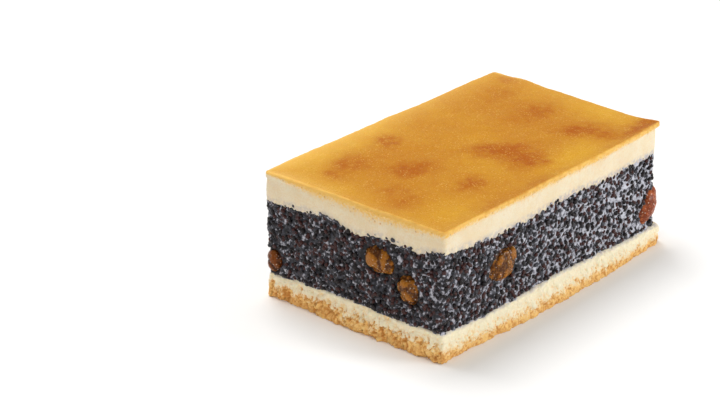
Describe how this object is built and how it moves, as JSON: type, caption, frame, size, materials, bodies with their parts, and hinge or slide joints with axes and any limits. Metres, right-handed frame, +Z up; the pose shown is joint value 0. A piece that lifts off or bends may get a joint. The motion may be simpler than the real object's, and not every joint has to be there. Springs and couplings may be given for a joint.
{
  "type": "poppy seed cake slice",
  "caption": "Cut oblong slice of poppy seed tray cake: crumbly shortcrust base, thick dark poppy seed filling with raisins, and a pale custard topping with a golden baked skin.",
  "frame": {"origin": "on the surface the slice rests on, under the middle of its bounding box", "axes": "+X along the long cut faces, +Y along the short ones from the near corner to the left corner, +Z up"},
  "size_m": [0.1085, 0.0678, 0.0413],
  "materials": {
    "shortcrust": "matt, crumbly pale shortcrust, toasted brown along its lowest edge",
    "poppy_filling": "moist grainy blue-grey paste full of black and dark brown seeds",
    "custard": "smooth pale cream custard under a thin satin golden baked skin with caramel spots",
    "raisin": "moist, wrinkled and dark amber"
  },
  "bodies": {
    "root": {"shortcrust_base": "shortcrust", "poppy_filling": "poppy_filling", "custard_topping": "custard", "raisin_upper_short_front": "raisin", "raisin_lower_short_front": "raisin", "raisin_long_front": "raisin", "raisin_left_corner": "raisin", "raisin_right_corner": "raisin", "raisin_short_back": "raisin", "raisin_first_long_back": "raisin", "raisin_second_long_back": "raisin"}
  },
  "joints": []
}
